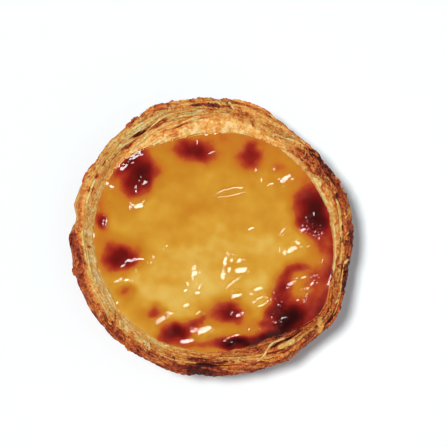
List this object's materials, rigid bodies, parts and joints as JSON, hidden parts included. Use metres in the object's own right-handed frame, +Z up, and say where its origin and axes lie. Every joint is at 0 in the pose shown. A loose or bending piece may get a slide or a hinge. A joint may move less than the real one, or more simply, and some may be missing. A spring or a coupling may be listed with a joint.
{
  "type": "egg tart",
  "caption": "Round egg tart: a cup of flaky browned puff pastry with an uneven layered rim, filled with a glossy set custard blistered dark on top.",
  "frame": {"origin": "middle of the flat base, where the tart stands", "axes": "+Z up through the custard, -Y towards the front, +X to the right"},
  "size_m": [0.0755, 0.0746, 0.0274],
  "materials": {
    "pastry": "stands in for baked puff pastry: matt, flaky, pale inside the rim and orange-brown to dark outside",
    "custard": "stands in for set egg custard: a smooth, wet-looking, glossy yellow skin with dark red-brown blisters"
  },
  "bodies": {
    "root": {"pastry_cup": "pastry", "custard": "custard"}
  },
  "joints": []
}
